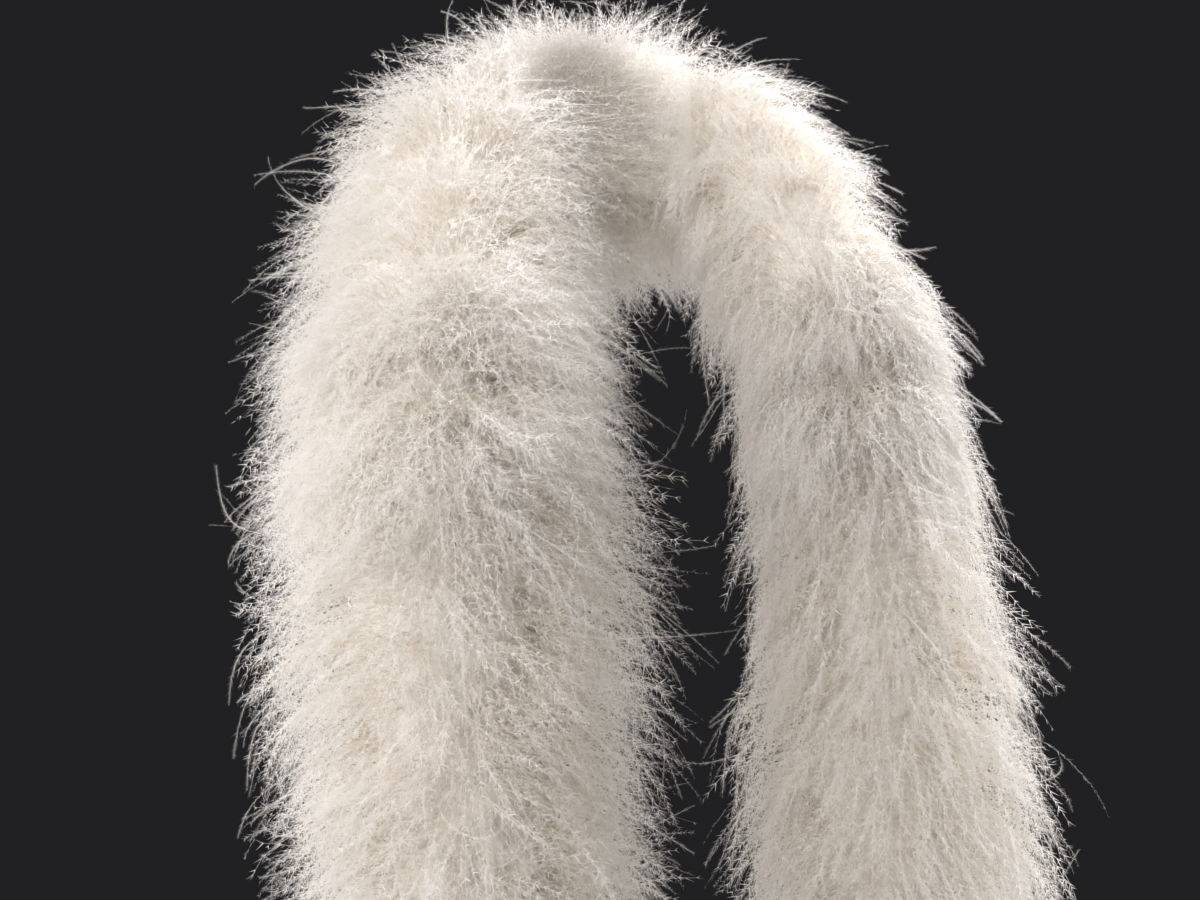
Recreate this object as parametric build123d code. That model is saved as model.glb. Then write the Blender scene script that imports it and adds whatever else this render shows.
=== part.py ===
from build123d import *
import math
import os

# A 72 inch ostrich feather boa, draped round a neck with both tails hanging in front.
# Millimetres. +Z is up, +X is the viewer's right, and the tails hang on the -Y side.
# The origin is the centre of the neck, level with the core cord at the nape.

# Core cord: one twisted cord, cut into the five rigid spans that the hinges join.
CORE_R = 2.5
PIVOT_GAP = 2.8
ARC_SHARE = 0.45

# Quill strips: four plies of split ostrich quill, wound round the core.
STRIP_R = 0.75
STRIP_ORBIT = 3.9
STRIP_PITCH = 120.0
STRIP_POINTS_PER_TURN = 10
STRIP_SETBACK = 7.0
PLIES = ("a", "b", "c", "d")

# Binding thread: a turn of thread round core and strips, every THREAD_STEP.
THREAD_R = 0.3
THREAD_ORBIT = 5.1
THREAD_STEP = 22.0
THREAD_SETBACK = 14.0

# End trim: a whipping round the cut end of each tail, and a knot under it.
WHIPPING_IN = 4.8
WHIPPING_OUT = 5.8
WHIPPING_LENGTH = 12.0
KNOT_R = 6.5
KNOT_GAP = 0.1

# Plumage: the flues of one span, as a hollow fleece of even thickness.
FLEECE = 7.0
PUFF_STEP = 46.0
COLLAR_R_LEFT = 92.0
COLLAR_R_NAPE = 85.0
COLLAR_R_RIGHT = 80.0
COLLAR_SETBACK = 61.0
FIRST_PUFF = 20.0
TAIL_SETBACK = 50.0
TAIL_FLAT = 60.0
TIP_DEPTH = 84.0
SLOT_WIDTH = 36.0
SLOT_SPAN = 160.0
SLOT_LOW = 38.0

# The wearer's neck, and a length to cut with that is past any of the plumage.
NECK_R = 57.0
PAST = 420.0

# Hinge points of the cord, shared by the span above and the span below.
LEFT_UPPER_PIVOT = (-105, -104, -150)
LEFT_LOWER_PIVOT = (-105, -108, -430)
RIGHT_UPPER_PIVOT = (106, -104, -150)
RIGHT_LOWER_PIVOT = (111, -108, -440)

# Routes of the five spans, point by point down the cord.
COLLAR_ROUTE = [
    LEFT_UPPER_PIVOT,
    (-100, -78, -102),
    (-92, -37, -57),
    (-82, 17, -24),
    (-50, 67, -6),
    (2, 86, 0),
    (53, 65, -5),
    (83, 15, -22),
    (93, -39, -56),
    (101, -80, -102),
    RIGHT_UPPER_PIVOT,
]
LEFT_UPPER_ROUTE = [
    LEFT_UPPER_PIVOT,
    (-108, -108, -218),
    (-107, -111, -290),
    (-104, -110, -361),
    LEFT_LOWER_PIVOT,
]
LEFT_LOWER_ROUTE = [
    LEFT_LOWER_PIVOT,
    (-103, -110, -494),
    (-106, -107, -561),
    (-110, -106, -628),
    (-110, -109, -695),
    (-108, -108, -756),
]
RIGHT_UPPER_ROUTE = [
    RIGHT_UPPER_PIVOT,
    (109, -108, -220),
    (110, -110, -294),
    (109, -109, -368),
    RIGHT_LOWER_PIVOT,
]
RIGHT_LOWER_ROUTE = [
    RIGHT_LOWER_PIVOT,
    (114, -107, -505),
    (113, -110, -573),
    (110, -109, -641),
    (111, -106, -708),
    (114, -107, -770),
]


def fillet_radii(points):
    """The arc at each inner point, as large as the two runs beside it allow."""
    radii = []
    for before, corner, after in zip(points, points[1:], points[2:]):
        run_in = corner - before
        run_out = after - corner
        half_turn = math.radians(run_in.get_angle(run_out)) / 2
        shorter = min(run_in.length, run_out.length)
        radii.append(ARC_SHARE * shorter / math.tan(half_turn))
    return radii


def smooth_wire(points):
    """Straight runs through the points, joined by tangent arcs."""
    return FilletPolyline(*points, radius=fillet_radii(points)).wire()


def tube(wire, radius):
    """A round rod of the given radius along a wire."""
    section = Plane(origin=wire @ 0, z_dir=wire % 0) * Circle(radius)
    return sweep(section, path=wire)


def moved_along(start, towards, distance):
    """The point at a distance from start, in the direction of another point."""
    return start + (towards - start).normalized() * distance


def core_wire(route, from_pivot):
    """The centre line of one span of the core, short of the pivot it hangs from."""
    points = [Vector(*p) for p in route]
    if from_pivot:
        points[0] = moved_along(points[0], points[1], PIVOT_GAP)
    return smooth_wire(points)


def core_cord(wire, rounded_ends):
    """One span of the core. Ends at a pivot below it are rounded about that pivot."""
    cord = tube(wire, CORE_R)
    for end in rounded_ends:
        cord = cord + Pos(wire @ end) * Sphere(CORE_R)
    return cord


def frames_along(wire, places):
    """Point, tangent and untwisted normal at each distance along a wire."""
    frames = []
    normal = Vector(1, 0, 0)
    for place in places:
        share = place / wire.length
        tangent = wire % share
        normal = (normal - tangent * normal.dot(tangent)).normalized()
        frames.append((wire @ share, tangent, normal))
    return frames


def even_places(length, setback, step):
    """Distances from setback to length - setback, as near to step apart as fits."""
    span = length - 2 * setback
    count = max(2, round(span / step))
    return [setback + span * i / count for i in range(count + 1)]


def quill_strip(wire, ply):
    """One ply's split quill, wound round the core at its share of the turn."""
    step = STRIP_PITCH / STRIP_POINTS_PER_TURN
    places = even_places(wire.length, STRIP_SETBACK, step)
    points = []
    for place, (centre, tangent, normal) in zip(places, frames_along(wire, places)):
        turn = 2 * math.pi * (place / STRIP_PITCH + ply / len(PLIES))
        side = tangent.cross(normal)
        outward = normal * math.cos(turn) + side * math.sin(turn)
        points.append(centre + outward * STRIP_ORBIT)
    return tube(smooth_wire(points), STRIP_R)


def binding_thread(wire):
    """The turns of thread that hold the strips to one span of the core."""
    places = even_places(wire.length, THREAD_SETBACK, THREAD_STEP)
    turns = []
    for centre, tangent, normal in frames_along(wire, places):
        plane = Plane(origin=centre, x_dir=normal, z_dir=tangent)
        turns.append(plane * Torus(THREAD_ORBIT, THREAD_R))
    return Compound(children=turns)


def collar_radius(share):
    """Outer radius of the collar's plumage, from its left end to its right end."""
    if share < 0.5:
        return COLLAR_R_LEFT + (COLLAR_R_NAPE - COLLAR_R_LEFT) * share * 2
    return COLLAR_R_NAPE + (COLLAR_R_RIGHT - COLLAR_R_NAPE) * (share * 2 - 1)


def puffs(wire, inset):
    """A chain of overlapping puffs along the collar, drawn in by inset all over."""
    balls = []
    for place in even_places(wire.length, FIRST_PUFF, PUFF_STEP):
        share = place / wire.length
        along = Plane(origin=wire @ share, z_dir=wire % share)
        balls.append(along * Sphere(collar_radius(share) - inset))
    return balls[0].fuse(*balls[1:]) - Cylinder(NECK_R + inset, PAST)


def collar_end(wire, end):
    """The block that cuts the collar's plumage off square, clear of a tail's top."""
    inward = (wire % end) * (1 if end == 0 else -1)
    plane = Plane(origin=(wire @ end) + inward * COLLAR_SETBACK, z_dir=inward)
    return plane * Box(240, 240, 150, align=(Align.CENTER, Align.CENTER, Align.MAX))


def plumage_collar(wire):
    """The fleece of flues round the neck, pressed back where the neck is."""
    fleece = puffs(wire, 0) - puffs(wire, FLEECE)
    for end in (0, 1):
        fleece = fleece - collar_end(wire, end)
    return fleece


def upper_outline(radius, swell, length, inset):
    """Half the outline of an upper tail: round top on the pivot, open foot."""
    foot = TAIL_SETBACK - length - (1 if inset else 0)
    top_r = radius - inset
    foot_r = radius + swell - inset
    outline = CenterArc((0, 0), top_r, 0, 90)
    outline += Line((top_r, 0), (top_r, -TAIL_FLAT))
    outline += Polyline((top_r, -TAIL_FLAT), (foot_r, -length / 2), (foot_r, foot), (0, foot))
    outline += Line((0, foot), (0, top_r))
    return outline


def lower_outline(radius, swell, length, inset):
    """Half the outline of a lower tail: round top on the pivot, round closed tip."""
    top_r = radius - inset
    wide_r = radius + swell - inset
    depth = TIP_DEPTH - inset
    outline = CenterArc((0, 0), top_r, 0, 90)
    outline += Line((top_r, 0), (top_r, -TAIL_FLAT))
    outline += Line((top_r, -TAIL_FLAT), (wide_r, -length * 0.7))
    outline += Line((wide_r, -length * 0.7), (wide_r, -length))
    outline += EllipticalCenterArc((0, -length), wide_r, depth, start_angle=270, arc_size=90)
    outline += Line((0, -length - depth), (0, top_r))
    return outline


def plumage_tail(pivot, foot, outline, radius, swell, slot_along_x):
    """One tail span's fleece, turned about the line from its pivot to its foot."""
    top = Vector(*pivot)
    bottom = Vector(*foot)
    length = (bottom - top).length
    solids = []
    for inset in (0, FLEECE):
        face = make_face(Plane.XZ * outline(radius, swell, length, inset))
        solids.append(revolve(face, axis=Axis.Z))
    fleece = solids[0] - solids[1]
    size = (SLOT_SPAN, SLOT_WIDTH) if slot_along_x else (SLOT_WIDTH, SLOT_SPAN)
    slot = Box(*size, 100, align=(Align.CENTER, Align.CENTER, Align.MIN))
    fleece = fleece - Pos(0, 0, SLOT_LOW) * slot
    upright = Plane(origin=top, x_dir=(1, 0, 0), z_dir=top - bottom)
    return upright * fleece


def end_whipping(wire):
    """The sleeve of thread round the cut end of a tail."""
    end = Plane(origin=wire @ 1, z_dir=(wire % 1) * -1)
    outer = Cylinder(WHIPPING_OUT, WHIPPING_LENGTH, align=(Align.CENTER, Align.CENTER, Align.MIN))
    inner = Cylinder(WHIPPING_IN, WHIPPING_LENGTH, align=(Align.CENTER, Align.CENTER, Align.MIN))
    return end * (outer - inner)


def end_knot(wire):
    """The knot that stops the cord under the whipping."""
    return Pos((wire @ 1) + (wire % 1) * (KNOT_R + KNOT_GAP)) * Sphere(KNOT_R)


def save(name, shape):
    """Write one piece of the boa as its own STEP file."""
    solids = shape.solids()
    piece = solids[0] if len(solids) == 1 else Compound(children=solids)
    piece.label = name
    export_step(piece, f"parts/{name}.step")


def save_cord(span, wire, rounded_ends):
    """Write one span's core, its four quill strips and its binding thread."""
    radii = fillet_radii([Vector(*p) for p in ROUTES[span]])
    print(span, "core length", round(wire.length), "arc radii", [round(r) for r in radii])
    cord = core_cord(wire, rounded_ends)
    section = math.pi * CORE_R**2
    print(span, "core volume over section", round(cord.volume / section))
    save(f"core_cord_{span}", cord)
    for ply, letter in enumerate(PLIES):
        save(f"quill_strip_{span}_{letter}", quill_strip(wire, ply))
    save(f"binding_thread_{span}", binding_thread(wire))


ROUTES = {
    "collar": COLLAR_ROUTE,
    "left_upper": LEFT_UPPER_ROUTE,
    "left_lower": LEFT_LOWER_ROUTE,
    "right_upper": RIGHT_UPPER_ROUTE,
    "right_lower": RIGHT_LOWER_ROUTE,
}

# Each tail span: outline, radius at the pivot, swell below it, and slot along X or Y.
TAILS = {
    "left_upper": (upper_outline, 88.0, 6.0, False),
    "left_lower": (lower_outline, 90.0, 5.0, True),
    "right_upper": (upper_outline, 77.0, 5.0, False),
    "right_lower": (lower_outline, 79.0, 5.0, True),
}

os.makedirs("parts", exist_ok=True)

wires = {span: core_wire(route, span != "collar") for span, route in ROUTES.items()}
save_cord("collar", wires["collar"], (0, 1))
save("plumage_collar", plumage_collar(wires["collar"]))

for span, (outline, radius, swell, slot_along_x) in TAILS.items():
    route = ROUTES[span]
    at_tip = outline is lower_outline
    save_cord(span, wires[span], () if at_tip else (1,))
    fleece = plumage_tail(route[0], route[-1], outline, radius, swell, slot_along_x)
    save(f"plumage_{span}", fleece)

for side in ("left", "right"):
    save(f"end_whipping_{side}", end_whipping(wires[f"{side}_lower"]))
    save(f"end_knot_{side}", end_knot(wires[f"{side}_lower"]))
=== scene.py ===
"""The looks of a white ostrich feather boa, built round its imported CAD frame. Metres."""

import math

import bpy
import numpy as np
from mathutils import Matrix, Vector


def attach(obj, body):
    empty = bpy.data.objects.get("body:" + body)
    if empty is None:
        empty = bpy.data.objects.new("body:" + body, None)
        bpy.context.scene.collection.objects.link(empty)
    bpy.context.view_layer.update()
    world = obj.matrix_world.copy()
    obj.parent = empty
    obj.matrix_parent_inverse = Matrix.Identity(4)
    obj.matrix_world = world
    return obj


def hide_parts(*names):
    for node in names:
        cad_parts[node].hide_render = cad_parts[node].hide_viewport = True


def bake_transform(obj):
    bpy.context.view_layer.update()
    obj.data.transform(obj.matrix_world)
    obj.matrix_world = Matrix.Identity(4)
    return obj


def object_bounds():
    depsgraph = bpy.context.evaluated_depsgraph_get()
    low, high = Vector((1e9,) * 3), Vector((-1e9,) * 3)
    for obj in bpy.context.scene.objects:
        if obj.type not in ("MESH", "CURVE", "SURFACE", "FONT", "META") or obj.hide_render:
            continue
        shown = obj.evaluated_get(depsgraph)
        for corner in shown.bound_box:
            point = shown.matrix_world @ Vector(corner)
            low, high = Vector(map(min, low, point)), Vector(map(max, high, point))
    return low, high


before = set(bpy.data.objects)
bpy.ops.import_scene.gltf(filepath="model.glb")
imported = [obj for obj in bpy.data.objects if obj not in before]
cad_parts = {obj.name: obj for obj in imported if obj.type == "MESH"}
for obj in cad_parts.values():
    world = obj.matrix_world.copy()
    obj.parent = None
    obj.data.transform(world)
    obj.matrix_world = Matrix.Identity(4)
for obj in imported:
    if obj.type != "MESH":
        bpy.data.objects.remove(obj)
CAD_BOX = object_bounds()

SEED = 20
DOWN = np.array([0.0, 0.0, -1.0])
FRONT = np.array([0.0, -1.0, 0.0])

# The core cord's route, as in the CAD model.
LEFT_UPPER_PIVOT = (-0.105, -0.104, -0.150)
LEFT_LOWER_PIVOT = (-0.105, -0.108, -0.430)
RIGHT_UPPER_PIVOT = (0.106, -0.104, -0.150)
RIGHT_LOWER_PIVOT = (0.111, -0.108, -0.440)
ROUTES = {
    "collar": [
        LEFT_UPPER_PIVOT,
        (-0.100, -0.078, -0.102),
        (-0.092, -0.037, -0.057),
        (-0.082, 0.017, -0.024),
        (-0.050, 0.067, -0.006),
        (0.002, 0.086, 0.0),
        (0.053, 0.065, -0.005),
        (0.083, 0.015, -0.022),
        (0.093, -0.039, -0.056),
        (0.101, -0.080, -0.102),
        RIGHT_UPPER_PIVOT,
    ],
    "left_upper": [
        LEFT_UPPER_PIVOT,
        (-0.108, -0.108, -0.218),
        (-0.107, -0.111, -0.290),
        (-0.104, -0.110, -0.361),
        LEFT_LOWER_PIVOT,
    ],
    "left_lower": [
        LEFT_LOWER_PIVOT,
        (-0.103, -0.110, -0.494),
        (-0.106, -0.107, -0.561),
        (-0.110, -0.106, -0.628),
        (-0.110, -0.109, -0.695),
        (-0.108, -0.108, -0.756),
    ],
    "right_upper": [
        RIGHT_UPPER_PIVOT,
        (0.109, -0.108, -0.220),
        (0.110, -0.110, -0.294),
        (0.109, -0.109, -0.368),
        RIGHT_LOWER_PIVOT,
    ],
    "right_lower": [
        RIGHT_LOWER_PIVOT,
        (0.114, -0.107, -0.505),
        (0.113, -0.110, -0.573),
        (0.110, -0.109, -0.641),
        (0.111, -0.106, -0.708),
        (0.114, -0.107, -0.770),
    ],
}
BODIES = {
    "collar": "collar",
    "left_upper": "left_tail_upper",
    "left_lower": "left_tail_lower",
    "right_upper": "right_tail_upper",
    "right_lower": "right_tail_lower",
}

# Core cord
STRANDS = 3
STRAND_PITCH = 0.016
STRAND_RADIUS = 0.00116
STRAND_ORBIT = 0.00134
STRAND_SIDES = 8
STRAND_EVERY = 2  # samples of its centre line to a ring

# Centre lines
SPLINE_RESOLUTION = 16
LINE_STEP = 0.001

# Outline of the plumage: how thick each side of the boa is at the nape, in the middle of the
# collar, at the shoulder, at the chest, at the waist and at the tip of its tail.
OUTER_RADIUS = {
    "left": (0.085, 0.081, 0.094, 0.100, 0.092, 0.092),
    "right": (0.082, 0.068, 0.068, 0.071, 0.083, 0.085),
}
CHEST_PLACE = 0.15  # share of the tail
WAIST_PLACE = 0.35
COLLAR_PRESS = {"left": 0.12, "right": 0.38}  # share of the radius, outside each shoulder
PRESS_RISE = (0.1, 0.5)  # shares of the way from the nape to the shoulder
PRESS_FADE = (0.7, 1.4)
LUMP_DEPTH = 0.035
LUMP_PITCH = 0.083
LUMP_WINDING = 3.1
LUMP_PHASE = {"left": 0.0, "right": 1.7}
PLY_PITCH = 0.21
STRAY_LIMIT = 0.015  # out of the CAD box
NECK_RADIUS = 0.050
NECK_FOOT = (-0.19, -0.13)  # heights over which the neck begins

# Locks of flues: rows along the cord, more outside its bends, and rings round each tip.
PLIES = ("a", "b", "c", "d")
GUIDE_STEP = 0.019
GUIDE_SPACING = 0.020
GUIDE_JITTER = (0.35, 0.30)  # along the cord and round it, shares of a gap
GUIDE_LIFT = (0.05, 0.16)  # mean and spread, radians
BEND_TRIES = 420
BEND_SPREAD = 0.024
BEND_FACING = 0.35
TIP_LIFTS = (14, 28, 42, 56, 70, 84)  # degrees
TIP_FEWEST = 3
TIP_INSET = 0.004
TIP_DEPTH = 0.008
TIP_JITTER = (0.25, 0.08)  # share of a gap, and radians

# One lock's fall and curl: means, spreads and limits.
LOCK_LENGTH = (1.0, 0.09)
PARTING_SPREAD = 1.6
LIE = (0.95, 0.14)
LIE_LIMITS = (0.62, 1.15)
TURN_SPREAD = 2.2
CURL_RANGE = (0.05, 0.60)

# How far a flue differs from its lock.
FLUE_LENGTH = (0.98, 0.12)
FLUE_OWN = {"wild": 0.45, "stray": 0.3, "lie": 0.10, "phase": 0.7, "turn": 1.0, "curl": 0.15}
FLUE_LIE_LIMITS = (0.58, 1.15)
ROOT_SPREAD = (0.0075, 0.15, 0.07)  # along the cord, round it, and in lift
GATHER_LEAST = 0.3
GATHER_POWER = 1.4

# A flue's line: where it starts and how long it is, as shares of the plumage's radius, and
# how it turns over from standing out to lying along the surface.
ROOT_SHARE = 0.45
FLUE_SHARE = 0.78
PARTING_SHARPNESS = 4.0
PARTED_LIE = 0.78  # least share, on the line of the parting
COMB_START = (0.02, 0.12)
LIE_STRETCH = (0.04, 0.72)  # shares of the flue
TIP_DROOP = 0.35
FLAT_TWIST = 1.2

# How the flues of each side fall.
FALL = {
    "left": {"droop": 0.70, "part": 0.60, "comb": 0.15, "wild": 0.45, "lie": 0.78},
    "right": {"droop": 1.25, "part": 0.45, "comb": 0.40, "wild": 0.36, "lie": 0.88},
}

# The layers of flues: how many to a lock, how finely they are drawn, and their barbules.
LAYERS = {
    "flues": {
        "parts": PLIES,
        "look": "flue",
        "per_guide": 6,
        "steps": 15,
        "gather": 0.55,
        "length": 1.0,
        "curl": 1.0,
        "shaft": 0.00011,
        "barbules": 40,
        "reach": 0.0036,
        "width": 0.00045,
        "bare": 0.22,
    },
    "underflues": {
        "parts": ("ab", "cd"),
        "look": "underflue",
        "per_guide": 9,
        "steps": 6,
        "gather": 0.20,
        "length": 0.88,
        "curl": 1.0,
        "shaft": 0.00025,
        "barbules": 13,
        "reach": 0.0060,
        "width": 0.00140,
        "bare": 0.06,
    },
    "strays": {
        "parts": ("loose",),
        "look": "flue",
        "per_guide": 1,
        "steps": 18,
        "gather": 0.0,
        "length": 1.16,
        "curl": 2.1,
        "shaft": 0.00018,
        "barbules": 70,
        "reach": 0.0030,
        "width": 0.00036,
        "bare": 0.25,
    },
}
SHAFT_TAPER = 1.15

# Barbules: how each differs from the next, and how they change along the flue.
BARBULE_SPREAD = math.radians(30)
BARBULE_SPREAD_VARIES = 0.25
BARBULE_LIFT = 0.22
BARBULE_REACH_VARIES = (0.45, 1.15)
BARBULE_GAP_VARIES = (0.1, 0.9)
BARBULE_TAPER = 1.35
FIRST_REACH = 0.6
REACH_GROWTH = 1.2
TIP_SHORTENING = 0.25
TIP_START = 0.8

# Each flue's UVs lie in one of these rows, with its root at u = 0 and its tip at u = 1.
# Distances from the middle of the row are shares of a row.
UV_ROWS = 64
SHAFT_UV = 0.06
BARBULE_UVS = np.array([0.06, 0.08, 0.45])
UV_MARGIN = 0.01

# The body of down at the flues' roots.
DOWN_SHARE = 0.46
DOWN_COLUMNS = 48
DOWN_STEP = 0.004
DOWN_OVERLAP = 0.006
DOWN_ROUGHNESS = 0.05
DOWN_CAP = 0.045
DOWN_CAP_LEAST = 0.02

# Studio: each light's place, size, watts and colour.
LIGHT_TARGET = (0.0, -0.05, -0.20)
LIGHTS = {
    "left": ((-1.30, -0.35, 0.30), 1.0, 21.0, (1.0, 0.965, 0.975)),
    "right": ((1.15, 0.25, 0.50), 0.9, 26.0, (1.0, 0.965, 0.975)),
    "top": ((-0.1, -0.7, 1.3), 1.0, 2.0, (1.0, 0.965, 0.97)),
    "front": ((-0.6, -1.3, 0.35), 1.0, 11.5, (1.0, 0.95, 0.93)),
    "back": ((0.3, 1.8, 0.9), 1.2, 12.0, (1.0, 0.98, 0.98)),
}
ROOM_COLOUR = (0.0150, 0.0145, 0.0160, 1.0)
FILL_COLOUR = (0.125, 0.120, 0.115, 1.0)
FLOOR_RADIUS = 1.4
FLOOR_GAP = 0.05


def smooth(values, low, high):
    """Smoothstep of values from low to high."""
    share = np.clip((values - low) / (high - low), 0.0, 1.0)
    return share * share * (3.0 - 2.0 * share)


def unit(vectors):
    """The same vectors, one unit long."""
    length = np.linalg.norm(vectors, axis=-1, keepdims=True)
    return vectors / np.maximum(length, 1e-9)


# ---------------------------------------------------------------- centre lines


def nurbs_points(route):
    """Points along the smooth line that has the route as its control points."""
    curve = bpy.data.curves.new("route", "CURVE")
    curve.dimensions = "3D"
    spline = curve.splines.new("NURBS")
    spline.points.add(len(route) - 1)
    for point, place in zip(spline.points, route):
        point.co = (*place, 1.0)
    spline.order_u = 3
    spline.use_endpoint_u = True
    spline.resolution_u = SPLINE_RESOLUTION
    carrier = bpy.data.objects.new("route", curve)
    bpy.context.scene.collection.objects.link(carrier)
    mesh = bpy.data.meshes.new_from_object(carrier)
    points = np.array([v.co for v in mesh.vertices], float)
    bpy.data.objects.remove(carrier)
    bpy.data.meshes.remove(mesh)
    bpy.data.curves.remove(curve)
    return points


class Line:
    """A centre line sampled every LINE_STEP, with an untwisted frame at each sample."""

    def __init__(self, points, first_normal):
        steps = np.linalg.norm(np.diff(points, axis=0), axis=1)
        run = np.concatenate([[0.0], np.cumsum(steps)])
        self.length = float(run[-1])
        count = int(round(self.length / LINE_STEP)) + 1
        at = np.linspace(0.0, self.length, count)
        self.place = np.stack([np.interp(at, run, points[:, i]) for i in range(3)], 1)
        self.along = unit(np.gradient(self.place, axis=0))
        normal = np.array(first_normal, float)
        across = []
        for tangent in self.along:
            normal = unit(normal - tangent * (normal @ tangent))
            across.append(normal)
        self.across = np.array(across)
        self.beside = np.cross(self.along, self.across)

    def index(self, run):
        """The sample nearest to each distance in run."""
        return np.clip(np.round(run / LINE_STEP).astype(int), 0, len(self.place) - 1)

    def at(self, run):
        """Place and tangent at each distance in run."""
        index = self.index(run)
        return self.place[index], self.along[index]

    def radial(self, index, angle):
        """The direction square to the line at each sample and angle round it."""
        return (
            self.across[index] * np.cos(angle)[:, None]
            + self.beside[index] * np.sin(angle)[:, None]
        )

    def run_to(self, point):
        """The distance along the line to its sample that is nearest to a point."""
        gaps = np.linalg.norm(self.place - np.array(point), axis=1)
        return float(np.argmin(gaps)) * LINE_STEP


def side_line(side, spans):
    """The centre line of half the boa, from the nape to the tip of one tail."""
    collar = spans["collar"]
    nape = len(collar) // 2
    half = collar[: nape + 1][::-1] if side == "left" else collar[nape:]
    points = np.concatenate([half, spans[f"{side}_upper"][1:], spans[f"{side}_lower"][1:]])
    return Line(points, (0.0, 0.0, 1.0))


# ---------------------------------------------------------------- meshes


def mesh_object(name, vertices, triangles, uvs=None):
    """A mesh object from arrays of vertices, triangles and corner UVs."""
    mesh = bpy.data.meshes.new(name)
    mesh.vertices.add(len(vertices))
    mesh.vertices.foreach_set("co", vertices.astype(np.float32).ravel())
    mesh.loops.add(triangles.size)
    mesh.loops.foreach_set("vertex_index", triangles.astype(np.int32).ravel())
    mesh.polygons.add(len(triangles))
    starts = np.arange(0, triangles.size, 3, dtype=np.int32)
    mesh.polygons.foreach_set("loop_start", starts)
    mesh.update(calc_edges=True)
    if uvs is not None:
        layer = mesh.uv_layers.new(name="OFBake")
        corners = uvs[triangles.ravel()].astype(np.float32)
        layer.uv.foreach_set("vector", corners.ravel())
    obj = bpy.data.objects.new(name, mesh)
    bpy.context.scene.collection.objects.link(obj)
    return obj


def twisted_cord(name, points):
    """A laid cord of STRANDS strands along a line of points."""
    line = Line(points, (1.0, 0.0, 0.0))
    at = np.arange(0, len(line.place), STRAND_EVERY)
    turn = 2 * np.pi * at * LINE_STEP / STRAND_PITCH
    round_angle = np.arange(STRAND_SIDES) * 2 * np.pi / STRAND_SIDES
    vertices, triangles = [], []
    for strand in range(STRANDS):
        outward = line.radial(at, turn + 2 * np.pi * strand / STRANDS)
        centre = line.place[at] + outward * STRAND_ORBIT
        sideways = np.cross(line.along[at], outward)
        ring = (
            outward[:, None] * np.cos(round_angle)[None, :, None]
            + sideways[:, None] * np.sin(round_angle)[None, :, None]
        )
        first = strand * len(at) * STRAND_SIDES
        vertices.append((centre[:, None] + ring * STRAND_RADIUS).reshape(-1, 3))
        triangles.append(first + tube_triangles(len(at), STRAND_SIDES))
    obj = mesh_object(name, np.concatenate(vertices), np.concatenate(triangles))
    obj.data.shade_smooth()
    return obj


def tube_triangles(rings, sides):
    """The triangles of a tube of rings, closed at both ends."""
    faces = []
    for ring in range(rings - 1):
        for side in range(sides):
            a = ring * sides + side
            b = ring * sides + (side + 1) % sides
            faces.append((a, b, b + sides))
            faces.append((a, b + sides, a + sides))
    last = (rings - 1) * sides
    for side in range(1, sides - 1):
        faces.append((0, side + 1, side))
        faces.append((last, last + side, last + side + 1))
    return np.array(faces)


# ---------------------------------------------------------------- flues


def outer_radius(side, line, run, pivot_run):
    """How far the plumage stands out from the cord at each distance along a side."""
    tail = line.length - pivot_run
    places = (
        0.0,
        0.5 * pivot_run,
        pivot_run,
        pivot_run + CHEST_PLACE * tail,
        pivot_run + WAIST_PLACE * tail,
        line.length,
    )
    return np.interp(run, places, OUTER_RADIUS[side])


def lean(side, run, pivot_run, outward):
    """The collar's plumage is pressed in on the outside, where it lies on the shoulder."""
    way = run / pivot_run
    collar = smooth(way, *PRESS_RISE) * (1.0 - smooth(way, *PRESS_FADE))
    outside = outward[:, 0] * (-1.0 if side == "left" else 1.0)
    return 1.0 - COLLAR_PRESS[side] * collar * np.maximum(outside, 0.0)


def lumps(run, angle, side):
    """Slow unevenness of the plumage, wound round the cord as its plies are."""
    phase = LUMP_PHASE[side]
    wound = np.sin(2 * angle + 2 * np.pi * run / PLY_PITCH + phase)
    slow = np.sin(2 * np.pi * run / LUMP_PITCH + LUMP_WINDING * np.cos(angle + phase))
    return 1.0 + LUMP_DEPTH * wound + LUMP_DEPTH * slow


def extra_roots(line, middle, facing, rng):
    """More locks on the outside of a bend, where the rows spread apart."""
    runs = middle + rng.normal(0, BEND_SPREAD, BEND_TRIES)
    angles = rng.uniform(0, 2 * np.pi, BEND_TRIES)
    radial = line.radial(line.index(runs), angles)
    outside = (radial @ facing > BEND_FACING) & (runs > 0.0)
    return list(runs[outside]), list(angles[outside])


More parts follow.
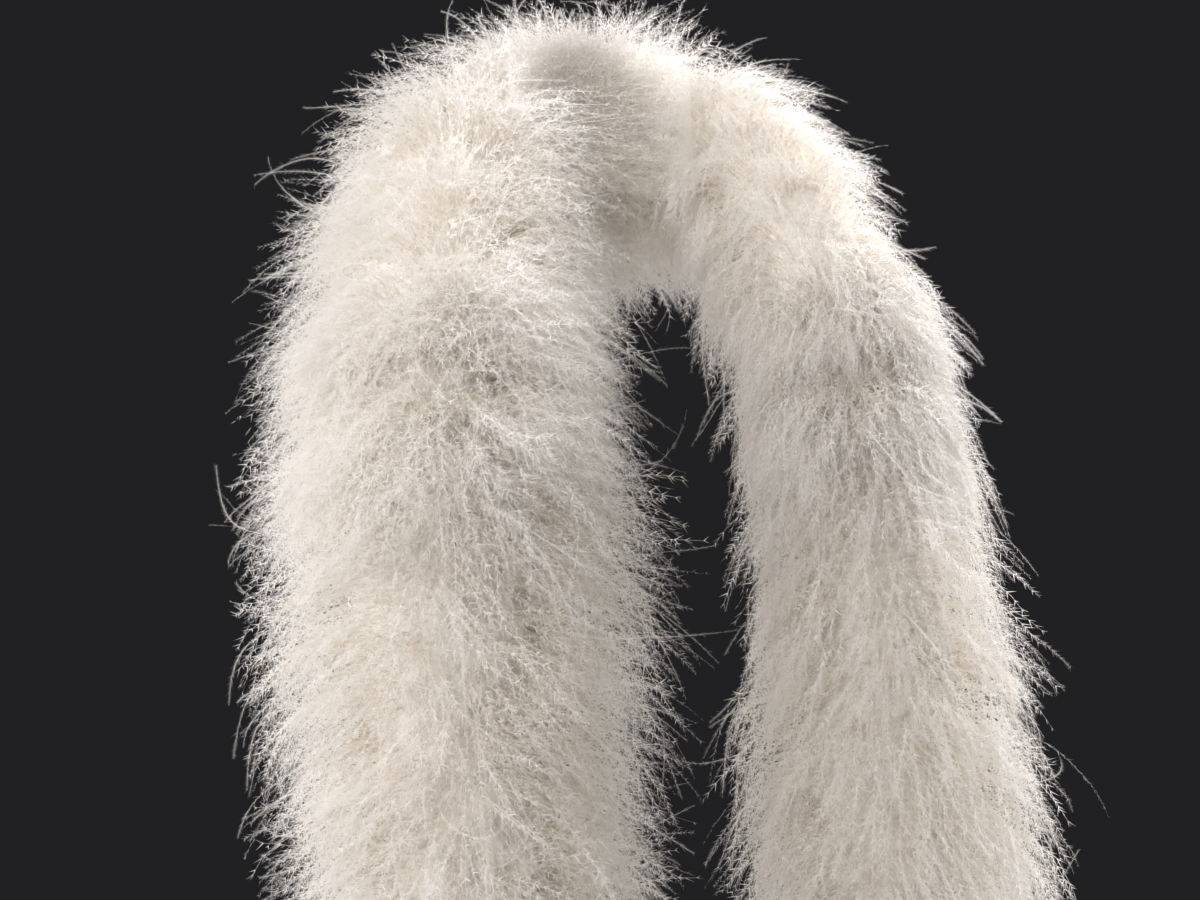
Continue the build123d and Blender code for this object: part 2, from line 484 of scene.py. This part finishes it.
def guide_roots(line, side, pivot_run, rng):
    """Distance, angle and lift of each lock of flues along one side of the boa."""
    runs, angles, lifts = [], [], []
    rows = int(line.length / GUIDE_STEP)
    for row in range(rows):
        run = (row + 0.5) * line.length / rows
        radius = outer_radius(side, line, run, pivot_run)
        count = int(round(2 * np.pi * radius / GUIDE_SPACING))
        base = rng.uniform(0, 2 * np.pi)
        for column in range(count):
            runs.append(run + rng.normal(0, GUIDE_JITTER[0]) * GUIDE_STEP)
            angles.append(base + (column + rng.normal(0, GUIDE_JITTER[1])) * 2 * np.pi / count)
            lifts.append(rng.normal(*GUIDE_LIFT))
    for middle, facing in ((pivot_run, FRONT), (0.0, -DOWN)):
        bend_runs, bend_angles = extra_roots(line, middle, facing, rng)
        runs.extend(bend_runs)
        angles.extend(bend_angles)
        lifts.extend([0.0] * len(bend_runs))
    radius = OUTER_RADIUS[side][-1]
    for lift in np.radians(TIP_LIFTS):
        ring = 2 * np.pi * radius * math.cos(lift)
        count = max(TIP_FEWEST, int(round(ring / GUIDE_SPACING)))
        base = rng.uniform(0, 2 * np.pi)
        for column in range(count):
            runs.append(line.length - TIP_INSET - rng.uniform(0, TIP_DEPTH))
            angles.append(base + (column + rng.normal(0, TIP_JITTER[0])) * 2 * np.pi / count)
            lifts.append(lift + rng.normal(0, TIP_JITTER[1]))
    return np.clip(runs, 0.0, line.length), np.array(angles), np.array(lifts)


def grow(line, side, pivot_run, roots, length_scale, steps, curls):
    """Centre lines of flues: out from the cord, then over along the surface."""
    run, angle, lift = roots
    fall = FALL[side]
    centre, along = line.at(run)
    radial = line.radial(line.index(run), angle)
    outward = radial * np.cos(lift)[:, None] + along * np.sin(lift)[:, None]
    radius = outer_radius(side, line, run, pivot_run) * lumps(run, angle, side)
    radius = radius * lean(side, run, pivot_run, outward)
    down = DOWN - outward * (outward @ DOWN)[:, None]
    away = np.cross(outward, along)
    parted = np.tanh(PARTING_SHARPNESS * (away @ FRONT) + curls["stray"])
    away *= -parted[:, None]
    comb = fall["comb"] * smooth(run, *COMB_START)[:, None]
    target = unit(
        fall["droop"] * down + fall["part"] * away + comb * along + fall["wild"] * curls["wild"]
    )
    lie = fall["lie"] * curls["lie"] * (PARTED_LIE + (1.0 - PARTED_LIE) * np.abs(parted))
    point = centre + outward * (ROOT_SHARE * radius)[:, None]
    stride = (FLUE_SHARE * radius * length_scale / (steps - 1))[:, None]
    basis_a = unit(np.cross(outward, target))
    basis_b = np.cross(outward, basis_a)
    points = [point]
    for step in range(steps - 1):
        share = step / (steps - 1)
        bend = lie * smooth(share, *LIE_STRETCH)
        heading = outward * (1 - bend)[:, None] + target * bend[:, None]
        swing = curls["phase"] + curls["turn"] * share
        wave = basis_a * np.cos(swing)[:, None] + basis_b * np.sin(swing)[:, None]
        heading = heading + wave * (curls["curl"] * share)[:, None]
        heading = unit(heading + DOWN * TIP_DROOP * fall["droop"] * share * share)
        point = point + heading * stride
        points.append(point)
    return np.stack(points, 1)


def curl_draws(count, rng):
    """The random part of each flue's fall and curl."""
    return {
        "wild": rng.normal(0, 1.0, (count, 3)),
        "stray": rng.normal(0, PARTING_SPREAD, count),
        "lie": np.clip(rng.normal(*LIE, count), *LIE_LIMITS),
        "phase": rng.uniform(0, 2 * np.pi, count),
        "turn": rng.normal(0, TURN_SPREAD, count),
        "curl": rng.uniform(*CURL_RANGE, count),
    }


def clear_of_neck(points):
    """Flues that would pass through the neck lie against it instead."""
    flat = points[..., :2]
    away = np.linalg.norm(flat, axis=-1)
    beside_neck = smooth(points[..., 2], *NECK_FOOT)
    limit = NECK_RADIUS * beside_neck
    push = np.maximum(limit / np.maximum(away, 1e-4), 1.0)
    points = points.copy()
    points[..., 0] *= push
    points[..., 1] *= push
    return points


def inside_box(points):
    """Stray flues bend back before they stand STRAY_LIMIT out of the CAD box."""
    low, high = (np.array(corner) for corner in CAD_BOX)
    over = np.maximum(points - high, 0.0) - np.maximum(low - points, 0.0)
    held = np.sign(over) * STRAY_LIMIT * (1.0 - np.exp(-np.abs(over) / STRAY_LIMIT))
    return np.clip(points, low, high) + held


def flues(line, side, pivot_run, guides, layer, rng):
    """Flue centre lines and headings for every lock, drawn together towards their tips."""
    count, steps = len(guides[0]), layer["steps"]
    guide_curls = curl_draws(count, rng)
    guide_scale = rng.normal(*LOCK_LENGTH, count)
    guide_points = grow(line, side, pivot_run, guides, guide_scale, steps, guide_curls)
    owner = np.repeat(np.arange(count), layer["per_guide"])
    total = len(owner)
    own = curl_draws(total, rng)  # only wild and stray are used
    curls = {key: guide_curls[key][owner] for key in guide_curls}
    curls["wild"] = curls["wild"] + FLUE_OWN["wild"] * own["wild"]
    curls["stray"] = curls["stray"] + FLUE_OWN["stray"] * own["stray"]
    for key in ("lie", "phase", "turn", "curl"):
        curls[key] = curls[key] + rng.normal(0, FLUE_OWN[key], total)
    curls["lie"] = np.clip(curls["lie"], *FLUE_LIE_LIMITS)
    curls["curl"] = layer["curl"] * curls["curl"]
    run, angle, lift = (
        values[owner] + rng.normal(0, spread, total) for values, spread in zip(guides, ROOT_SPREAD)
    )
    roots = (np.clip(run, 0.0, line.length), angle, lift)
    scale = layer["length"] * guide_scale[owner] * rng.normal(*FLUE_LENGTH, total)
    points = grow(line, side, pivot_run, roots, scale, steps, curls)
    share = np.linspace(0.0, 1.0, steps)[None, :, None]
    pulled = rng.uniform(GATHER_LEAST, 1.0, total)[:, None, None]
    pull = layer["gather"] * pulled * share**GATHER_POWER
    points = points + (guide_points[owner] - points) * pull
    points = inside_box(clear_of_neck(points))
    headings = unit(np.gradient(points, axis=1))
    return points, headings, roots[0]


def flat_sides(headings, rng):
    """The direction in which each flue is flat, turning slowly from its root to its tip."""
    count, steps, _ = headings.shape
    share = np.linspace(0.0, 1.0, steps)[None, :]
    first = unit(np.cross(headings, unit(rng.normal(0, 1, (count, 1, 3)))))
    second = np.cross(headings, first)
    start = rng.uniform(0, 2 * np.pi, (count, 1))
    twist = start + rng.normal(0, FLAT_TWIST, (count, 1)) * share
    return first * np.cos(twist)[..., None] + second * np.sin(twist)[..., None]


def shaft_ribbons(points, wide, row, half_width):
    """A fine tapering ribbon down the middle of each flue."""
    count, steps, _ = points.shape
    share = np.linspace(0.0, 1.0, steps)[None, :]
    half = (half_width * (SHAFT_TAPER - share))[..., None]
    vertices = np.stack([points - wide * half, points + wide * half], 2)
    v = row[..., None] + np.array([-SHAFT_UV, SHAFT_UV]) / UV_ROWS
    u = np.broadcast_to(share[..., None], (count, steps, 2))
    uvs = np.stack([u, np.broadcast_to(v, (count, steps, 2))], -1)
    left = (np.arange(count)[:, None] * steps + np.arange(steps - 1)[None, :]).ravel() * 2
    triangles = np.concatenate(
        [np.stack([left, left + 1, left + 3], 1), np.stack([left, left + 3, left + 2], 1)]
    )
    return vertices.reshape(-1, 3), triangles, uvs.reshape(-1, 2)


def barbule_needles(points, headings, wide, row, layer, rng):
    """A slim triangle for each barbule, down both sides of every flue."""
    count, steps, _ = points.shape
    each, bare = layer["barbules"], layer["bare"]
    gap = (1.0 - bare) / each
    within = rng.uniform(*BARBULE_GAP_VARIES, (count, each))
    share = bare + gap * (np.arange(each)[None, :] + within)
    place = share * (steps - 1)
    before = np.minimum(place.astype(int), steps - 2)
    part = (place - before)[..., None]
    flue = np.arange(count)[:, None]
    start, heading, side = (
        values[flue, before] * (1 - part) + values[flue, before + 1] * part
        for values in (points, headings, wide)
    )
    normal = np.cross(heading, side)
    envelope = np.minimum(FIRST_REACH + REACH_GROWTH * (share - bare), 1.0)
    envelope *= 1.0 - TIP_SHORTENING * smooth(share, TIP_START, 1.0)
    width = (layer["width"] * (BARBULE_TAPER - share))[..., None]
    corners, corner_rows = [], []
    for sign in (-1.0, 1.0):
        varied = rng.uniform(*BARBULE_REACH_VARIES, (count, each))
        reach = (layer["reach"] * envelope * varied)[..., None]
        varied = rng.normal(1.0, BARBULE_SPREAD_VARIES, (count, each))
        spread = (BARBULE_SPREAD * varied)[..., None]
        lift = rng.normal(0, BARBULE_LIFT, (count, each))[..., None]
        slant = heading * np.cos(spread) + side * sign * np.sin(spread) + normal * lift
        corners.append(np.stack([start, start + heading * width, start + slant * reach], 2))
        corner_rows.append(row[..., None] + sign * BARBULE_UVS / UV_ROWS)
    vertices = np.stack(corners, 2)
    v = np.stack([np.broadcast_to(rows, (count, each, 3)) for rows in corner_rows], 2)
    u = share[:, :, None, None] * (1.0 - 2 * UV_MARGIN) + UV_MARGIN
    u = np.broadcast_to(u, v.shape)
    triangles = np.arange(count * each * 2 * 3).reshape(-1, 3)
    return vertices.reshape(-1, 3), triangles, np.stack([u, v], -1).reshape(-1, 2)


def fringe(points, headings, layer, rng):
    """Vertices, triangles and UVs of flues: a fine shaft with barbules down both sides."""
    wide = flat_sides(headings, rng)
    row = (rng.integers(0, UV_ROWS, (len(points), 1)) + 0.5) / UV_ROWS
    shafts = shaft_ribbons(points, wide, row, layer["shaft"])
    barbules = barbule_needles(points, headings, wide, row, layer, rng)
    vertices = np.concatenate([shafts[0], barbules[0]])
    triangles = np.concatenate([shafts[1], barbules[1] + len(shafts[0])])
    return vertices, triangles, np.concatenate([shafts[2], barbules[2]])


# ---------------------------------------------------------------- materials


def new_material(name):
    """An empty node material and its node tree."""
    material = bpy.data.materials.new(name)
    material.use_nodes = True
    tree = material.node_tree
    tree.nodes.clear()
    return material, tree


def node(tree, kind, **settings):
    """A new node with the given settings."""
    made = tree.nodes.new(kind)
    for key, value in settings.items():
        setattr(made, key, value)
    return made


def ramp(tree, stops):
    """A colour ramp node with the given (place, colour) stops."""
    made = node(tree, "ShaderNodeValToRGB")
    elements = made.color_ramp.elements
    while len(elements) < len(stops):
        elements.new(0.5)
    for element, (place, colour) in zip(elements, stops):
        element.position = place
        element.color = (*colour, 1.0)
    return made


def flue_material(name, root, middle, tip, glow):
    """Flue: warm at the root, white at the tip, each row a little different. It glows by
    letting that share of the light through."""
    material, tree = new_material(name)
    link = tree.links.new
    uv = node(tree, "ShaderNodeUVMap", uv_map="OFBake")
    split = node(tree, "ShaderNodeSeparateXYZ")
    link(uv.outputs[0], split.inputs[0])
    down_flue = ramp(tree, ((0.0, root), (0.45, middle), (1.0, tip)))
    link(split.outputs["X"], down_flue.inputs[0])
    rows = node(tree, "ShaderNodeMath", operation="MULTIPLY")
    rows.inputs[1].default_value = UV_ROWS
    link(split.outputs["Y"], rows.inputs[0])
    row = node(tree, "ShaderNodeMath", operation="FLOOR")
    link(rows.outputs[0], row.inputs[0])
    chance = node(tree, "ShaderNodeTexWhiteNoise", noise_dimensions="1D")
    link(row.outputs[0], chance.inputs["W"])
    cream, ivory, white = (0.93, 0.91, 0.87), (0.98, 0.975, 0.965), (1.0, 1.0, 1.0)
    tint = ramp(tree, ((0.0, cream), (0.3, ivory), (1.0, white)))
    link(chance.outputs["Value"], tint.inputs[0])
    mixed = node(tree, "ShaderNodeMix", data_type="RGBA", blend_type="MULTIPLY")
    mixed.inputs["Factor"].default_value = 1.0
    link(down_flue.outputs[0], mixed.inputs["A"])
    link(tint.outputs[0], mixed.inputs["B"])
    surface = node(tree, "ShaderNodeBsdfPrincipled")
    surface.inputs["Roughness"].default_value = 0.62
    surface.inputs["Specular IOR Level"].default_value = 0.25
    link(mixed.outputs["Result"], surface.inputs["Base Color"])
    through = node(tree, "ShaderNodeBsdfTranslucent")
    link(mixed.outputs["Result"], through.inputs["Color"])
    both = node(tree, "ShaderNodeMixShader")
    both.inputs[0].default_value = glow
    link(surface.outputs[0], both.inputs[1])
    link(through.outputs[0], both.inputs[2])
    output = node(tree, "ShaderNodeOutputMaterial")
    link(both.outputs[0], output.inputs["Surface"])
    return material


def fibre_material(name, dark, light, scale, roughness):
    """Fine fibrous stuff: a mottled colour with a bump of the same grain."""
    material, tree = new_material(name)
    link = tree.links.new
    place = node(tree, "ShaderNodeTexCoord")
    grain = node(tree, "ShaderNodeTexNoise")
    grain.inputs["Scale"].default_value = scale
    grain.inputs["Detail"].default_value = 6.0
    link(place.outputs["Object"], grain.inputs["Vector"])
    colour = ramp(tree, ((0.3, dark), (0.7, light)))
    link(grain.outputs["Fac"], colour.inputs[0])
    bump = node(tree, "ShaderNodeBump")
    bump.inputs["Strength"].default_value = 0.5
    bump.inputs["Distance"].default_value = 0.0004
    link(grain.outputs["Fac"], bump.inputs["Height"])
    surface = node(tree, "ShaderNodeBsdfPrincipled")
    surface.inputs["Roughness"].default_value = roughness
    link(colour.outputs[0], surface.inputs["Base Color"])
    link(bump.outputs[0], surface.inputs["Normal"])
    output = node(tree, "ShaderNodeOutputMaterial")
    link(surface.outputs[0], output.inputs["Surface"])
    return material


def paint(obj, material):
    """Give an object one material."""
    obj.data.materials.clear()
    obj.data.materials.append(material)


# ---------------------------------------------------------------- the boa


def attach_plumage(obj, side, level):
    """Fix a piece of plumage in place by baking its transform into its mesh, and let it stand for
    the CAD fleece.
    """
    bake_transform(obj)
    nodes = [f"plumage_{side}_{level}"]
    if level == "upper":
        nodes.append("plumage_collar")
    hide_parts(*nodes)


def build_plumage(side, line, materials, rng):
    """Every flue on one side of the boa, in pieces by joint and by ply."""
    upper_run = line.run_to(ROUTES[f"{side}_upper"][0])
    lower_run = line.run_to(ROUTES[f"{side}_lower"][0])
    split = (upper_run + lower_run) / 2
    guides = guide_roots(line, side, upper_run, rng)
    for name, layer in LAYERS.items():
        points, headings, run = flues(line, side, upper_run, guides, layer, rng)
        part = np.arange(len(points)) % len(layer["parts"])
        for level in ("upper", "lower"):
            here = run < split if level == "upper" else run >= split
            for index, ply in enumerate(layer["parts"]):
                chosen = here & (part == index)
                made = fringe(points[chosen], headings[chosen], layer, rng)
                obj = mesh_object(f"{name}_{side}_{level}_{ply}", *made)
                paint(obj, materials[layer["look"]])
                attach_plumage(obj, side, level)
    build_down(side, line, upper_run, split, materials, rng)


def build_down(side, line, upper_run, split, materials, rng):
    """The dense down at the flues' roots: a lumpy body that closes the plumage inside."""
    around = np.arange(DOWN_COLUMNS) * 2 * np.pi / DOWN_COLUMNS
    for level in ("upper", "lower"):
        low = 0.0 if level == "upper" else split - DOWN_OVERLAP
        high = split + DOWN_OVERLAP if level == "upper" else line.length
        rings = np.arange(low, high, DOWN_STEP)
        run, angle = (grid.ravel() for grid in np.meshgrid(rings, around, indexing="ij"))
        place, _ = line.at(run)
        wobble = 1.0 + DOWN_ROUGHNESS * rng.normal(0, 1, run.size)
        radius = DOWN_SHARE * outer_radius(side, line, run, upper_run) * wobble
        radius *= lumps(run, angle, side)
        if level == "lower":
            left = np.clip((line.length - run) / DOWN_CAP, DOWN_CAP_LEAST, 1.0)
            radius *= np.sqrt(1 - (1 - left) ** 2)
        outward = line.radial(line.index(run), angle)
        vertices = clear_of_neck(place + outward * radius[:, None])
        triangles = tube_triangles(len(rings), DOWN_COLUMNS)
        obj = mesh_object(f"down_{side}_{level}", vertices, triangles)
        obj.data.shade_smooth()
        paint(obj, materials["down"])
        attach_plumage(obj, side, level)


def build_cord(span, points, material):
    """One span of the twisted core cord."""
    obj = twisted_cord(f"core_{span}", points)
    paint(obj, material)
    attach(obj, BODIES[span])
    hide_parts(f"core_cord_{span}")


def finish_cad_nodes(materials):
    """Carry over the CAD nodes that keep their shape, each with its own material."""
    looks = (
        ("quill_strip", "quill"),
        ("binding_thread", "thread"),
        ("end_whipping", "thread"),
        ("end_knot", "cord"),
    )
    for name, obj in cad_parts.items():
        for start, look in looks:
            if name.startswith(start):
                paint(obj, materials[look])


# ---------------------------------------------------------------- studio


def aimed(location, target):
    """A world matrix at location that looks at target."""
    location, target = Vector(location), Vector(target)
    turn = (target - location).to_track_quat("-Z", "Y").to_matrix().to_4x4()
    return Matrix.Translation(location) @ turn


def soft_light(name, location, target, size, power, colour):
    """A square area light."""
    data = bpy.data.lights.new(name, "AREA")
    data.size = size
    data.energy = power
    data.color = colour
    obj = bpy.data.objects.new(name, data)
    bpy.context.scene.collection.objects.link(obj)
    obj.matrix_world = aimed(location, target)


def build_world():
    """A plain grey room: darker where the camera looks, brighter as fill light."""
    world = bpy.data.worlds.new("studio")
    bpy.context.scene.world = world
    world.use_nodes = True
    tree = world.node_tree
    tree.nodes.clear()
    seen = node(tree, "ShaderNodeBackground")
    seen.inputs["Color"].default_value = ROOM_COLOUR
    fill = node(tree, "ShaderNodeBackground")
    fill.inputs["Color"].default_value = FILL_COLOUR
    rays = node(tree, "ShaderNodeLightPath")
    both = node(tree, "ShaderNodeMixShader")
    tree.links.new(rays.outputs["Is Camera Ray"], both.inputs[0])
    tree.links.new(fill.outputs[0], both.inputs[1])
    tree.links.new(seen.outputs[0], both.inputs[2])
    output = node(tree, "ShaderNodeOutputWorld")
    tree.links.new(both.outputs[0], output.inputs["Surface"])


def build_floor():
    """A pale round floor under the tails."""
    low, _ = CAD_BOX
    bpy.ops.mesh.primitive_circle_add(
        vertices=96, radius=FLOOR_RADIUS, fill_type="NGON", location=(0.0, 0.0, low[2] - FLOOR_GAP)
    )
    floor = bpy.context.object
    floor.name = "floor"
    dark, light = (0.50, 0.50, 0.50), (0.54, 0.54, 0.53)
    paint(floor, fibre_material("floor_paper", dark, light, 40.0, 0.8))


def build_camera():
    """The photographer's view: level, a little to the left, and tilted a few degrees."""
    azimuth = math.radians(-7.0)
    tilt = math.radians(4.0)
    distance = 0.937
    frame_width = 0.60
    target = Vector((-0.028, -0.115, -0.175))
    back = Vector((math.sin(azimuth), -math.cos(azimuth), 0.0))
    level_up = Vector((0.0, 0.0, 1.0))
    level_right = level_up.cross(back)
    up = level_up * math.cos(tilt) + level_right * math.sin(tilt)
    right = up.cross(back)
    data = bpy.data.cameras.new("camera")
    data.angle = 2 * math.atan(frame_width / 2 / distance)
    camera = bpy.data.objects.new("camera", data)
    bpy.context.scene.collection.objects.link(camera)
    turn = Matrix((right, up, back)).transposed().to_4x4()
    camera.matrix_world = Matrix.Translation(target + back * distance) @ turn
    bpy.context.scene.camera = camera


def build_studio():
    """Floor, room, lights and camera."""
    build_world()
    build_floor()
    for name, (place, size, power, colour) in LIGHTS.items():
        soft_light(name, place, LIGHT_TARGET, size, power, colour)
    bpy.context.scene.view_settings.view_transform = "Standard"
    build_camera()


def build_materials():
    """Every material of the boa, by the name that its pieces use."""
    materials = {}
    for name, root, middle, tip, glow in (
        ("flue", (0.89, 0.85, 0.78), (0.972, 0.962, 0.948), (0.988, 0.986, 0.985), 0.58),
        ("underflue", (0.87, 0.82, 0.74), (0.96, 0.945, 0.92), (0.98, 0.975, 0.967), 0.55),
    ):
        materials[name] = flue_material(name, root, middle, tip, glow)
    for name, dark, light, scale, roughness in (
        ("down", (0.74, 0.70, 0.64), (0.90, 0.87, 0.82), 420.0, 0.9),
        ("cord", (0.74, 0.68, 0.56), (0.90, 0.86, 0.78), 900.0, 0.8),
        ("quill", (0.72, 0.62, 0.44), (0.90, 0.84, 0.70), 700.0, 0.45),
        ("thread", (0.82, 0.80, 0.74), (0.95, 0.94, 0.90), 2400.0, 0.6),
    ):
        materials[name] = fibre_material(name, dark, light, scale, roughness)
    return materials


def main():
    """Build everything."""
    rng = np.random.default_rng(SEED)
    materials = build_materials()
    spans = {span: nurbs_points(route) for span, route in ROUTES.items()}
    for span, points in spans.items():
        build_cord(span, points, materials["cord"])
    for side in ("left", "right"):
        build_plumage(side, side_line(side, spans), materials, rng)
    finish_cad_nodes(materials)
    build_studio()


main()
